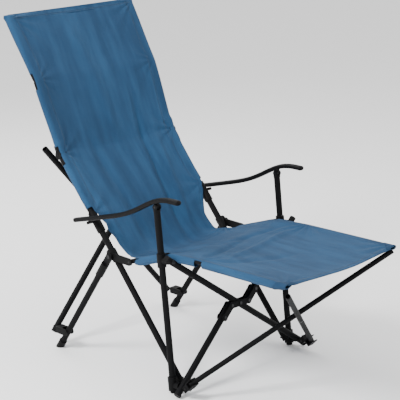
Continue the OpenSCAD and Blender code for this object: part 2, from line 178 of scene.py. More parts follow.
def make_piece(name, points, quads, finish, uv=None, fields=()):
    """An object from points and quads. Unused points are dropped; uv and fields hold a value per point."""
    used, packed = np.unique(quads, return_inverse=True)
    points, packed = np.asarray(points, float).reshape(-1, 3)[used], packed.reshape(quads.shape)
    mesh = bpy.data.meshes.new(name)
    mesh.from_pydata(points.tolist(), [], packed.tolist())
    mesh.polygons.foreach_set("use_smooth", np.ones(len(packed), bool))
    corner = np.zeros(len(mesh.loops), np.int32)
    mesh.loops.foreach_get("vertex_index", corner)
    if uv is not None:
        layer = mesh.uv_layers.new(name="cloth")
        layer.data.foreach_set("uv", uv.reshape(-1, 2)[used][corner].astype(np.float32).ravel())
    for label, values in dict(fields).items():
        held = mesh.attributes.new(label, "FLOAT", "POINT")
        held.data.foreach_set("value", values.ravel()[used].astype(np.float32))
    mesh.materials.append(finish)
    mesh.update()
    piece = bpy.data.objects.new(name, mesh)
    bpy.context.scene.collection.objects.link(piece)
    return piece


def thicken(piece, thickness):
    """Gives a cloth surface its thickness, inwards from the face that shows."""
    wall = piece.modifiers.new("Thickness", "SOLIDIFY")
    wall.thickness, wall.offset, wall.use_even_offset = thickness, -1.0, False


def surface_normals(points):
    """Unit normals of a grid: the cross product of its two central differences."""
    normal = np.cross(np.gradient(points, axis=1), np.gradient(points, axis=0))
    return normal / np.maximum(np.linalg.norm(normal, axis=-1, keepdims=True), 1e-12)


def stitch_row(line, normal, pitch, length, thick):
    """Threads laid end to end on a line, each a flattened six-sided spindle: points and quads."""
    run = np.r_[0, np.cumsum(np.linalg.norm(np.diff(line, axis=0), axis=1))]
    at = np.arange(pitch, run[-1] - pitch, pitch)
    pick = lambda a, s: np.stack([np.interp(s, run, a[:, k]) for k in range(3)], 1)
    middle, up = pick(line, at), pick(normal, at)
    way = pick(line, at + 0.4 * pitch) - pick(line, at - 0.4 * pitch)
    way /= np.linalg.norm(way, axis=1, keepdims=True)
    up /= np.linalg.norm(up, axis=1, keepdims=True)
    side = np.cross(way, up)
    ring = np.array([0.12, 0.75, 1.0, 0.75, 0.12])
    along = np.array([-0.5, -0.36, 0.0, 0.36, 0.5]) * length
    arc = np.arange(6) * np.pi / 3
    lift = 0.35 * thick * ring
    shape = (
        middle[:, None, None]
        + way[:, None, None] * along[None, :, None, None]
        + side[:, None, None] * (0.5 * thick * ring[:, None] * np.cos(arc))[None, :, :, None]
        + up[:, None, None] * (0.4 * thick * ring[:, None] * np.sin(arc) + lift[:, None])[None, :, :, None]
    )
    k, a = np.meshgrid(np.arange(4), np.arange(6), indexing="ij")
    near, far, b = k * 6, (k + 1) * 6, (a + 1) % 6
    one = np.stack([near + a, near + b, far + b, far + a], -1).reshape(-1, 4)
    ends = np.array([[3, 2, 1, 0], [5, 4, 3, 0], [24, 25, 26, 27], [24, 27, 28, 29]])
    one = np.concatenate([one, ends])[:, ::-1]
    quads = one[None] + 30 * np.arange(len(at))[:, None, None]
    return shape.reshape(-1, 3), quads.reshape(-1, 4)


def along_edge(points, across, normal, way, inset):
    """The line on a panel a fixed distance in from one edge, between the grid's columns, and its normals."""
    mid = across[:, SIDE : SIDE + MID]
    place = way * (np.abs(across[:, SIDE]) - inset)
    j = np.clip((mid < place[:, None]).sum(1), 1, MID - 1)
    k = np.arange(len(mid))
    t = (place - mid[k, j - 1]) / (mid[k, j] - mid[k, j - 1])
    a, b = points[k, SIDE + j - 1], points[k, SIDE + j]
    return a + (b - a) * t[:, None], normal[k, SIDE + j]


def seam_threads(points, across, normal, v, side_insets, use, end_insets, end, pitch):
    """Threads in rows down both sides of a panel, where use is true, and along its end: points and quads."""
    rows = []
    for way in (-1, 1):
        for inset in side_insets:
            line, up = along_edge(points, across, normal, way, inset)
            rows.append((line[use], up[use]))
    for inset in end_insets:
        k = int(np.argmin(np.abs(v - end + inset)))
        cut = slice(SIDE + 1, SIDE + MID - 1)
        rows.append((points[k, cut], normal[k, cut]))
    return join_rows([stitch_row(line + up * 0.0001, up, pitch, pitch * 0.7, 0.0010) for line, up in rows])


def join_rows(rows):
    """Several sets of points and quads as one."""
    shift = np.cumsum([0] + [len(p) for p, _ in rows[:-1]])
    return np.concatenate([p for p, _ in rows]), np.concatenate([q + s for (_, q), s in zip(rows, shift)])


# ---- finishes ----


class Value:
    """A number that varies over a surface. An expression on values adds the Math nodes that work it out."""

    def __init__(self, finish, socket):
        self.finish, self.socket = finish, socket

    def __add__(self, other):
        return self.finish.math("ADD", self, other)

    def __rsub__(self, other):
        return self.finish.math("SUBTRACT", other, self)

    def __mul__(self, other):
        return self.finish.math("MULTIPLY", self, other)

    __radd__, __rmul__ = __add__, __mul__


class Finish:
    """One material: its node tree, with a Principled shader whose constants are set on its own sockets."""

    def __init__(self, name, **constants):
        self.material = bpy.data.materials.new(name)
        self.material.use_nodes = True
        self.tree = self.material.node_tree
        self.tree.nodes.clear()
        self.shader = self.tree.nodes.new("ShaderNodeBsdfPrincipled")
        out = self.tree.nodes.new("ShaderNodeOutputMaterial")
        self.tree.links.new(self.shader.outputs["BSDF"], out.inputs["Surface"])
        for label, value in constants.items():
            self.shader.inputs[label.replace("_", " ")].default_value = value

    def put(self, socket, value):
        """Sets a socket, or links a value or an output to it."""
        if isinstance(value, Value):
            value = value.socket
        if isinstance(value, bpy.types.NodeSocket):
            self.tree.links.new(value, socket)
        else:
            socket.default_value = value

    def node(self, kind, settings=None, inputs=None):
        """Any node: its settings first, and then its sockets' values or links."""
        made = self.tree.nodes.new("ShaderNode" + kind)
        for label, value in (settings or {}).items():
            setattr(made, label, value)
        for label, value in (inputs or {}).items():
            self.put(made.inputs[label], value)
        return made

    def math(self, operation, a, b=0.0):
        return Value(self, self.node("Math", {"operation": operation}, {0: a, 1: b}).outputs[0])

    def noise(self, place, scale, detail=3.0, rough=0.55):
        inputs = {"Vector": place, "Scale": scale, "Detail": detail, "Roughness": rough}
        return Value(self, self.node("TexNoise", None, inputs).outputs["Fac"])

    def stretch(self, place, scale):
        """A place scaled along each axis, so that a pattern on it is stretched."""
        return self.node("Mapping", None, {"Vector": place, "Scale": scale}).outputs[0]

    def mix(self, factor, a, b):
        """A colour between a and b."""
        made = self.node("Mix", {"data_type": "RGBA"}, {0: factor, 6: a, 7: b})
        return made.outputs[2]

    def field(self, label):
        return Value(self, self.node("Attribute", {"attribute_name": label}).outputs["Fac"])

    def between(self, value, low, high):
        """0 where the value is below low, 1 above high, smooth between."""
        inputs = {"Value": value, "From Min": low, "From Max": high}
        made = self.node("MapRange", {"interpolation_type": "SMOOTHSTEP"}, inputs)
        return Value(self, made.outputs["Result"])

    def bump(self, height, distance, strength=1.0):
        made = self.node("Bump", None, {"Height": height, "Distance": distance, "Strength": strength})
        self.put(self.shader.inputs["Normal"], made.outputs["Normal"])


def cloth_finish(name, light, dark, pale):
    """Woven polyester: crossed sines for the weave, streaks of lighter yarn, soft fading by the seams, and
    painted shade along each seam's groove.
    """
    f = Finish(name, Sheen_Weight=0.03, Sheen_Roughness=0.5, Specular_IOR_Level=0.16)
    uv = f.node("UVMap", {"uv_map": "cloth"}).outputs["UV"]
    split = f.node("SeparateXYZ", None, {0: uv})
    u, v = Value(f, split.outputs[0]), Value(f, split.outputs[1])
    turns = 2 * math.pi / 0.0013
    weave = f.math("SINE", u * turns) * f.math("SINE", v * turns)
    broad = f.noise(f.stretch(uv, (5.0, 2.2, 1.0)), 1.0, 4.0)
    streak = f.noise(f.stretch(uv, (34.0, 4.5, 1.0)), 1.0, 3.0)
    yarn = f.noise(f.stretch(uv, (1500.0, 90.0, 1.0)), 1.0, 2.0)
    rim = f.field("rim")
    tone = f.between(broad * 0.55 + streak * 0.45, 0.36, 0.66)
    body = f.mix(tone, dark, light)
    worn = (1 - f.between(f.math("ABSOLUTE", rim), 0.0, 0.011)) * f.between(streak, 0.30, 0.72)
    body = f.mix(worn * 0.25, body, pale)
    body = f.mix(f.between(yarn, 0.35, 0.75) * 0.16 + weave * 0.03, body, pale)
    # A thin line along each seam is mixed towards the dark colour. It is painted shade in the seam's groove,
    # which the bump below also sinks.
    seam = f.between(f.math("ABSOLUTE", rim), 0.0009, 0.0022)
    body = f.mix((1 - seam) * 0.55, body, dark)
    f.put(f.shader.inputs["Base Color"], body)
    f.put(f.shader.inputs["Roughness"], 0.70 + yarn * 0.16)
    f.bump(weave * 0.5 + streak * 0.6 + yarn * 0.5 + seam * 1.2, 0.0006, 0.8)
    return f.material


def paint_finish(name, colour, worn):
    """Powder coat on steel tube: fine orange peel, a slightly uneven gloss, and faint rub marks."""
    f = Finish(name, IOR=1.25, Specular_IOR_Level=0.22)
    place = f.node("TexCoord").outputs["Object"]
    peel = f.noise(place, 900.0, 2.0)
    cloud = f.noise(place, 14.0, 4.0)
    rub = f.noise(f.stretch(place, (40.0, 40.0, 9.0)), 1.0, 6.0, 0.7)
    f.put(f.shader.inputs["Base Color"], f.mix(f.between(rub, 0.60, 0.85) * 0.5, colour, worn))
    f.put(f.shader.inputs["Roughness"], 0.54 + cloud * 0.14 + peel * 0.05)
    f.bump(peel + rub * 0.4, 0.00025, 0.6)
    return f.material


def moulded_finish(name, colour, worn):
    """Moulded nylon: a fine spark-eroded grain, a little paler where hands and shoes scuff it."""
    f = Finish(name, IOR=1.24, Specular_IOR_Level=0.25)
    place = f.node("TexCoord").outputs["Object"]
    grain = f.noise(place, 1400.0, 2.0)
    scuff = f.noise(place, 55.0, 5.0, 0.65)
    f.put(f.shader.inputs["Base Color"], f.mix(f.between(scuff, 0.55, 0.80) * 0.6, colour, worn))
    f.put(f.shader.inputs["Roughness"], 0.40 + scuff * 0.20)
    f.bump(grain + scuff * 0.5, 0.0003, 0.7)
    return f.material


def rivet_finish(name, colour):
    """Blackened zinc plate on steel: dull, with cloudy tarnish."""
    f = Finish(name, Metallic=1.0)
    place = f.node("TexCoord").outputs["Object"]
    cloud = f.noise(place, 240.0, 4.0, 0.6)
    tarnish = [c * 0.55 for c in colour[:3]] + [1]
    f.put(f.shader.inputs["Base Color"], f.mix(f.between(cloud, 0.35, 0.70), colour, tarnish))
    f.put(f.shader.inputs["Roughness"], 0.34 + cloud * 0.22)
    f.bump(cloud, 0.0001, 0.4)
    return f.material


def thread_finish(name, colour):
    """Sewing thread: twisted ply as very fine noise, on a slightly uneven blue."""
    f = Finish(name, Roughness=0.6, Sheen_Weight=0.2)
    place = f.node("TexCoord").outputs["Object"]
    ply = f.noise(place, 2600.0, 2.0)
    f.put(f.shader.inputs["Base Color"], f.mix(ply * 0.5, colour, [c * 1.5 for c in colour[:3]] + [1]))
    f.bump(ply, 0.0002, 0.5)
    return f.material


# ---- cloth panels ----

ARC, UNDER, MID = 16, 8, 117  # grid columns round a sleeve, under it, and across the panel
SIDE = ARC + UNDER  # columns outside the panel's own edge


def cloth_points(line, way, half, lift, sag, sleeve, v, folds, flat_end, up=1):
    """A panel between two side tubes, with a sleeve round each.

    Across, the panel runs from tube to tube and is lowered in its middle by sag times one minus the square of
    its place; only its edges follow the fittings' bumps. Past each tube the cloth goes round it on an ellipse,
    then back under the panel to its seam. All of it is set off from the tube's own line, along the line's
    normal. Returns the points and the distance across.
    """
    rise = up * np.stack([-way[:, 1], way[:, 0]], 1)
    c = np.linspace(-1, 1, MID)
    arc = np.linspace(0, 1, ARC + 1)[1:]
    under = np.linspace(0, 1, UNDER + 1)[1:]
    rows = len(v)
    r, deep, tuck = sleeve  # outward radius, depth of the hem, and width of the turned-under cloth, per row
    x_mid = half[:, None] * c[None]
    calm = np.convolve(np.pad(lift, 30, "edge"), np.hanning(61) / np.hanning(61).sum(), "valid")
    n_mid = calm[:, None] + (lift - calm)[:, None] * c[None] ** 10 - sag[:, None] * (1 - c[None] ** 2)
    n_mid = n_mid + folds(x_mid, np.broadcast_to(v[:, None], x_mid.shape)) * (1 - c[None] ** 8)
    turn = np.pi * arc[None]
    centre = lift - deep / 2
    x_arc = half[:, None] + r[:, None] * np.sin(turn)
    n_arc = centre[:, None] + deep[:, None] / 2 * np.cos(turn)
    x_und = half[:, None] - tuck[:, None] * under[None]
    meet = lift - sag * (1 - ((half - tuck) / half) ** 2) - 0.0016
    n_und = (lift - deep)[:, None] + (meet - lift + deep)[:, None] * under[None] ** 1.6
    x = np.concatenate([-x_und[:, ::-1], -x_arc[:, ::-1], x_mid, x_arc, x_und], 1)
    n = np.concatenate([n_und[:, ::-1], n_arc[:, ::-1], n_mid, n_arc, n_und], 1)
    n = n * flat_end[:, None] + (1 - flat_end[:, None]) * (lift[:, None] - 0.004 + 0.18 * (n - lift[:, None]))
    side = line[:, None] + rise[:, None] * n[..., None]
    points = np.stack([x, side[..., 0] - MID_Y, side[..., 1]], -1)
    steps = np.linalg.norm(np.diff(points, axis=1), axis=-1)
    across = np.concatenate([np.zeros((rows, 1)), np.cumsum(steps, 1)], 1)
    across -= across[:, across.shape[1] // 2][:, None]
    return points, across


def back_rows():
    """The back's own line: along the seat from its seam, round the crease, up rail and post to the hem."""
    start = np.array([0.186, 0.3545])
    return smooth_path([start, [0.262, 0.342], CREASE, KNEE, BEND, CLOTH_TOP])


class Cloth(bpy.types.PropertyGroup):
    light: bpy.props.FloatVectorProperty(
        name="Cloth", description="Colour of the cloth in the open", subtype="COLOR", size=4, min=0, max=1,
        default=(0.0170, 0.0680, 0.1500, 1),
    )
    # The dark cloth colour serves for the darker yarn and for the painted shade along each seam's groove.
    dark: bpy.props.FloatVectorProperty(
        name="Shaded cloth", description="Colour of the darker yarn and of the seams", subtype="COLOR", size=4,
        min=0, max=1, default=(0.0085, 0.0390, 0.0930, 1),
    )
    pale: bpy.props.FloatVectorProperty(
        name="Worn cloth", description="Colour of rubbed and faded yarn", subtype="COLOR", size=4,
        min=0, max=1, default=(0.036, 0.106, 0.210, 1),
    )
    thickness: bpy.props.FloatProperty(
        name="Thickness", description="Thickness of the coated polyester", default=0.0009, unit="LENGTH"
    )
    back_sag: bpy.props.FloatProperty(
        name="Back sag", description="How far the middle of the back hangs behind the posts", default=0.020,
        unit="LENGTH",
    )
    seat_sag: bpy.props.FloatProperty(
        name="Seat sag", description="How far the middle of the seat hangs below the rods", default=0.024,
        unit="LENGTH",
    )
    stitch: bpy.props.FloatProperty(
        name="Stitch pitch", description="Distance from one stitch to the next", default=0.0042, unit="LENGTH"
    )


class Frame(bpy.types.PropertyGroup):
    paint: bpy.props.FloatVectorProperty(
        name="Powder coat", description="Colour of the painted tubes", subtype="COLOR", size=4, min=0, max=1,
        default=(0.0045, 0.0045, 0.0050, 1),
    )
    rubbed: bpy.props.FloatVectorProperty(
        name="Rubbed paint", description="Colour of the paint where it is rubbed", subtype="COLOR", size=4,
        min=0, max=1, default=(0.016, 0.014, 0.012, 1),
    )
    plastic: bpy.props.FloatVectorProperty(
        name="Moulded parts", description="Colour of the nylon fittings", subtype="COLOR", size=4,
        min=0, max=1, default=(0.0040, 0.0040, 0.0044, 1),
    )
    scuffed: bpy.props.FloatVectorProperty(
        name="Scuffed plastic", description="Colour of the nylon where it is scuffed", subtype="COLOR", size=4,
        min=0, max=1, default=(0.012, 0.0115, 0.011, 1),
    )
    zinc: bpy.props.FloatVectorProperty(
        name="Rivets", description="Colour of the blackened rivets and pins", subtype="COLOR", size=4,
        min=0, max=1, default=(0.045, 0.045, 0.047, 1),
    )
    arm_width: bpy.props.FloatProperty(
        name="Armrest width", description="Width of an armrest", default=0.0212, unit="LENGTH"
    )
    arm_height: bpy.props.FloatProperty(
        name="Armrest height", description="Thickness of an armrest", default=0.0140, unit="LENGTH"
    )


class Studio(bpy.types.PropertyGroup):
    floor: bpy.props.FloatVectorProperty(
        name="Floor", description="Colour of the floor", subtype="COLOR", size=4, min=0, max=1,
        default=(0.94, 0.94, 0.94, 1),
    )
    lens: bpy.props.FloatProperty(
        name="Lens", description="Focal length", default=126.36, subtype="DISTANCE_CAMERA"
    )
    key: bpy.props.FloatProperty(
        name="Key light", description="Power of the main lamp", default=190.0, unit="POWER"
    )
    fill: bpy.props.FloatProperty(
        name="Fill light", description="Power of each of the two other lamps", default=40.0, unit="POWER"
    )


def cloth_material():
    made = bpy.data.materials.get("Blue woven cloth")
    c = bpy.context.scene.lounger_cloth
    return made or cloth_finish("Blue woven cloth", tuple(c.light), tuple(c.dark), tuple(c.pale))


def thread_material():
    name = "Blue sewing thread"
    return bpy.data.materials.get(name) or thread_finish(name, (0.010, 0.035, 0.075, 1))


def nylon_material():
    p = bpy.context.scene.lounger_frame
    name = "Moulded nylon"
    return bpy.data.materials.get(name) or moulded_finish(name, tuple(p.plastic), tuple(p.scuffed))


class LOUNGER_OT_back(bpy.types.Operator):
    """The back panel, with a sleeve round each post and a turned hem along the top"""

    bl_idname = "lounger.back"
    bl_label = "Back Panel"

    def execute(self, context):
        p = context.scene.lounger_cloth
        at, line, way = back_rows()
        mouth = at[-1] - POST_HIGH - POST_LOW - RAIL + MOUTH
        knee, bend, top = mouth + (RAIL - MOUTH), mouth + (RAIL - MOUTH + POST_LOW), at[-1]
        v = np.unique(np.r_[np.linspace(0, at[-1] - 0.012, 226), np.linspace(at[-1] - 0.012, at[-1], 8)])
        line = np.stack([np.interp(v, at, line[:, k]) for k in (0, 1)], 1)
        way = np.stack([np.interp(v, at, way[:, k]) for k in (0, 1)], 1)
        half = knots(v, [(0, 0.2125), (0.035, 0.206), (0.076, 0.188), (mouth - 0.120, 0.191),
                         (mouth - 0.070, 0.207), (mouth - 0.035, 0.2215), (mouth - 0.012, 0.2300),
                         (mouth, 0.2315), (knee, 0.2325), (bend, 0.2415), (top, 0.2500)])
        lift = knots(v, [(0, 0.0), (0.076, 0.0), (mouth - 0.120, -0.004), (mouth - 0.090, -0.001),
                         (mouth - 0.055, 0.0095), (mouth - 0.035, 0.0130), (mouth - 0.010, 0.0142),
                         (mouth + 0.010, 0.0125), (mouth + 0.040, 0.0112), (knee - 0.058, 0.0115),
                         (knee - 0.035, 0.0142), (knee + 0.030, 0.0142), (knee + 0.048, 0.0110),
                         (top, 0.0108)])
        sag = p.back_sag * knots(v, [(0, 0.75), (0.076, 0.95), (mouth - 0.1, 1.05), (knee, 1.0), (bend, 0.72),
                                     (top - 0.05, 0.40), (top, 0.32)])
        radius = knots(v, [(0, 0.0112), (knee - 0.06, 0.0112), (knee - 0.02, 0.0145), (knee + 0.03, 0.0145),
                           (knee + 0.05, 0.0112), (top - 0.016, 0.0112), (top, 0.0170)])
        deep = np.full_like(v, 0.022)
        tuck = np.full_like(v, 0.026)
        tip = top - 0.0065
        flat_end = 1 - ease(v, tip, top)

        def folds(x, w):
            grow = 0.35 + 0.65 * ease(top - w, 0.02, 0.30)
            low = 1 - 0.5 * ease(w, knee, top)
            total = long_folds(x, w, 11, 0.0042) * grow * low
            for side in (-1, 1):
                total += fan_folds(x, w, (side * 0.246, top - 0.012), 0.070, 0.0040, 13, 0.4 * side)
                total += fan_folds(x, w, (side * 0.230, knee), 0.050, 0.0046, 9, 1.0)
                total += fan_folds(x, w, (side * 0.236, bend), 0.040, 0.0036, 11, 2.0 * side)
                total += fan_folds(x, w, (side * 0.228, mouth - 0.02), 0.055, 0.0040, 8, 0.7)
                total += fan_folds(x, w, (side * 0.200, 0.045), 0.065, 0.0048, 9, 1.4 * side)
            total += crease(x, w, (0.085, 0.07), (0.118, knee + 0.12), 0.012, -0.0090)
            total += crease(x, w, (0.120, 0.10), (0.160, knee + 0.02), 0.013, 0.0066)
            total += crease(x, w, (-0.06, 0.09), (-0.10, knee + 0.05), 0.018, -0.0058)
            total += crease(x, w, (-0.16, 0.12), (-0.205, knee - 0.03), 0.014, 0.0046)
            total += crease(x, w, (0.02, knee - 0.02), (-0.03, top - 0.06), 0.020, 0.0040)
            return total

        points, across = cloth_points(line, way, half, lift, sag, (radius, deep, tuck), v, folds, flat_end)
        rows, cols = points.shape[:2]
        points, across, v = self.top_hem(points, across, v, way[-1])
        i, j = np.meshgrid(np.arange(len(v) - 1), np.arange(cols - 1), indexing="ij")
        middle = v[:-1, None] / 2 + v[1:, None] / 2
        j_out = np.minimum(j, cols - 2 - j)  # columns counted from the nearer side
        loop = j_out < SIDE
        keep = ~(loop & (middle < mouth))
        keep &= ~(loop & (j_out < SIDE - 4) & (np.abs(middle - knee + 0.006) < 0.031))
        keep &= ~(loop & (j_out < SIDE - 5) & (np.abs(middle - bend + 0.002) < 0.025))
        keep &= ~((i >= rows - 1) & loop)
        edge = np.abs(across[:, SIDE])[:, None] - np.abs(across)
        rim = np.where(v[:, None] < mouth - 0.002, edge - 0.008, edge - 0.024)
        rim = np.minimum(rim, (top - v)[:, None] - 0.014)
        rim = np.where(np.arange(len(v))[:, None] >= rows, 0.01, rim)
        quads = grid_faces(len(v), cols, keep)
        uv = np.stack([across, np.broadcast_to(v[:, None], across.shape)], -1)
        back = make_piece("back_panel", points, quads, cloth_material(), uv, {"rim": rim})
        thicken(back, p.thickness)
        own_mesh(back)
        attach(back, "side_rail_R")
        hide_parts("back_sling")
        self.stitches(context, points, across, v, mouth, top, rows)
        return {"FINISHED"}

    def top_hem(self, points, across, v, way):
        """Rows past the top edge: the cloth turns over on a small half circle and comes down behind."""
        turn = np.linspace(0, np.pi, 7)[1:]
        down = np.linspace(0, 0.020, 7)[1:]
        up = np.array([0, way[0], way[1]])
        out = np.array([0, -way[1], way[0]])
        r = 0.0016
        last = points[-1]
        over = last[None] + r * np.sin(turn)[:, None, None] * up - r * (1 - np.cos(turn))[:, None, None] * out
        fall = over[-1][None] - down[:, None, None] * up + (down * 0.04)[:, None, None] * out
        more = np.concatenate([over, fall])
        run = v[-1] + np.r_[r * turn, r * np.pi + down]
        across = np.concatenate([across, np.repeat(across[-1:], len(more), 0)])
        return np.concatenate([points, more]), across, np.r_[v, run]

    def stitches(self, context, points, across, v, mouth, top, rows):
        """Two rows down each sleeve's seam and two across the top hem."""
        pitch = context.scene.lounger_cloth.stitch
        points, across, v = points[:rows], across[:rows], v[:rows]
        use = (v > mouth + 0.004) & (v < top - 0.004)
        normal = surface_normals(points)
        place, quads = seam_threads(
            points, across, normal, v, (0.022, 0.026), use, (0.0135, 0.016), top, pitch
        )
        made = make_piece("back_stitches", place, quads, thread_material())
        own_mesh(made)
        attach(made, "side_rail_R")


class LOUNGER_OT_seat(bpy.types.Operator):
    """The seat and leg rest, with a deep hem round each rod, a turned front edge and corner patches"""

    bl_idname = "lounger.seat"
    bl_label = "Seat Panel"

    def execute(self, context):
        p = context.scene.lounger_cloth
        ends = ROD[0] + [-0.009, 0.0032], ROD[3] + [-0.0265, 0.0004]
        at, line, way = smooth_path([ends[0], *ROD[1:], ends[1]], 0.001, 0.014)
        end = at[-1]
        v = np.linspace(0, end, 236)
        line = np.stack([np.interp(v, at, line[:, k]) for k in (0, 1)], 1)
        way = np.stack([np.interp(v, at, way[:, k]) for k in (0, 1)], 1)
        half = knots(v, [(0, 0.2290), (0.020, 0.2320), (0.05, 0.2330), (end - 0.03, 0.2330), (end, 0.2325)])
        lift = knots(v, [(0, 0.0075), (end, 0.0085)])
        sag = p.seat_sag * knots(v, [(0, 0.62), (0.10, 1.0), (0.30, 0.85), (end - 0.08, 0.85), (end, 0.66)])
        radius = knots(v, [(0, 0.0085), (0.02, 0.0095), (end - 0.02, 0.0098), (end, 0.0105)])
        deep = knots(v, [(0, 0.0200), (0.03, 0.0250), (end - 0.05, 0.0230), (end - 0.02, 0.0185),
                         (end, 0.0120)])
        tuck = np.full_like(v, 0.022)
        flat_end = np.ones_like(v)
        notch = float(np.interp(0.078, -line[:, 0], v))  # distance along the panel to the notch in each hem

        def folds(x, w):
            total = long_folds(x * 0.8, w, 23, 0.0024)
            for side in (-1, 1):
                total += fan_folds(x, w, (side * 0.236, notch), 0.065, 0.0056, 11, 0.8)
                total += fan_folds(x, w, (side * 0.238, end - 0.01), 0.060, 0.0048, 12, 0.5 * side)
                total += fan_folds(x, w, (side * 0.232, 0.0), 0.055, 0.0030, 10, 1.1 * side)
                total += fan_folds(x, w, (side * 0.236, 0.150), 0.040, 0.0022, 9, 0.2 * side)
            total += crease(x, w, (-0.205, notch - 0.02), (0.10, notch - 0.115), 0.013, -0.0078)
            total += crease(x, w, (-0.17, notch + 0.03), (0.17, notch - 0.03), 0.015, 0.0070)
            total += crease(x, w, (-0.20, notch + 0.05), (0.02, notch + 0.12), 0.016, -0.0052)
            total += crease(x, w, (-0.215, 0.04), (0.06, 0.09), 0.015, 0.0056)
            total += crease(x, w, (0.21, notch - 0.06), (-0.02, notch - 0.15), 0.014, -0.0056)
            return total

        points, across = cloth_points(line, way, half, lift, sag, (radius, deep, tuck), v, folds, flat_end, -1)
        rows, cols = points.shape[:2]
        points, across, v_all = self.front_hem(points, across, v)
        i, j = np.meshgrid(np.arange(len(v_all) - 1), np.arange(cols - 1), indexing="ij")
        middle = v_all[:-1, None] / 2 + v_all[1:, None] / 2
        j_out = np.minimum(j, cols - 2 - j)
        loop = j_out < SIDE
        keep = ~(loop & (middle < 0.004))
        keep &= ~(loop & (j_out < SIDE - 3) & (np.abs(middle - notch) < 0.013))
        keep &= ~((i >= rows - 1) & loop)
        edge = np.abs(across[:, SIDE])[:, None] - np.abs(across)
        rim = np.minimum(np.abs(edge - 0.001), np.abs((end - v_all)[:, None] - 0.016))
        rim = np.where(edge < 0, np.abs(edge + 0.024), rim)
        quads = grid_faces(len(v_all), cols, keep)[:, ::-1]
        uv = np.stack([across, np.broadcast_to(v_all[:, None], across.shape)], -1)
        seat = make_piece("seat_panel", points, quads, cloth_material(), uv, {"rim": rim})
        thicken(seat, p.thickness)
        pockets = self.pockets(points[:rows], across[:rows], v, end)
        threads = self.stitches(context, points[:rows], across[:rows], v, end)
        for piece in (seat, pockets, threads):
            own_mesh(piece)
            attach(piece, "seat_rod_R")
        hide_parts("seat_sling")
        return {"FINISHED"}

    def front_hem(self, points, across, v):
        """Rows past the front edge: the cloth turns under on a small half circle and runs back below."""
        turn = np.linspace(0, np.pi, 7)[1:]
        back = np.linspace(0, 0.014, 6)[1:]
        ahead = np.array([0, -1.0, 0.0])
        down = np.array([0, 0.0, -1.0])
        r = 0.0016
        forward, under = r * np.sin(turn)[:, None, None], r * (1 - np.cos(turn))[:, None, None]
        over = points[-1][None] + forward * ahead + under * down
        tail = over[-1][None] - back[:, None, None] * ahead
        more = np.concatenate([over, tail])
        run = v[-1] + np.r_[r * turn, r * np.pi + back]
        across = np.concatenate([across, np.repeat(across[-1:], len(more), 0)])
        return np.concatenate([points, more]), across, np.r_[v, run]

    def pockets(self, points, across, v, end):
        """Reinforcing patches on the front corners: the panel's own surface there, lifted off it and edged."""
        rows = v > end - 0.046
        normal = self.upward(points)
        lifted = (points + 0.0009 * normal)[rows]
        sets = []
        for flip in (False, True):
            cut = slice(UNDER - 2, UNDER + ARC + 9)
            part, run = (lifted[:, ::-1], -across[rows][:, ::-1]) if flip else (lifted, across[rows])
            part, run = part[:, cut], run[:, cut]
            r, c = part.shape[:2]
            reach = (run - run[:, :1]) / (run[:, -1:] - run[:, :1])
            keep = (reach + (end - v[rows])[:, None] / 0.046 * 0.75 < 1.04)[1:, 1:]
            faces = grid_faces(r, c, keep)
            sets.append((part.reshape(-1, 3), faces if flip else faces[:, ::-1]))
        place, quads = join_rows(sets)
        uv = place[:, :2].copy()
        c = bpy.context.scene.lounger_cloth
        deep = tuple(x * 0.72 for x in c.dark[:3]) + (1,)
        finish = cloth_finish("Corner patch cloth", tuple(c.dark), deep, tuple(c.light))
        made = make_piece("corner_patches", place, quads, finish, uv, {"rim": np.full(len(place), 0.01)})
        thicken(made, 0.0008)
        return made

    def upward(self, points):
        """The panel's normals, turned to its upper face."""
        normal = surface_normals(points)
        middle = normal[len(points) // 2, points.shape[1] // 2, 2]
        return -normal if middle < 0 else normal

    def stitches(self, context, points, across, v, end):
        """Two rows along the top of each deep hem and two along the front edge."""
        pitch = context.scene.lounger_cloth.stitch
        use = (v > 0.008) & (v < end - 0.006)
        normal = self.upward(points)
        place, quads = seam_threads(
            points, across, normal, v, (0.0035, 0.0065), use, (0.012, 0.015), end, pitch
        )
        return make_piece("seat_stitches", place, quads, thread_material())


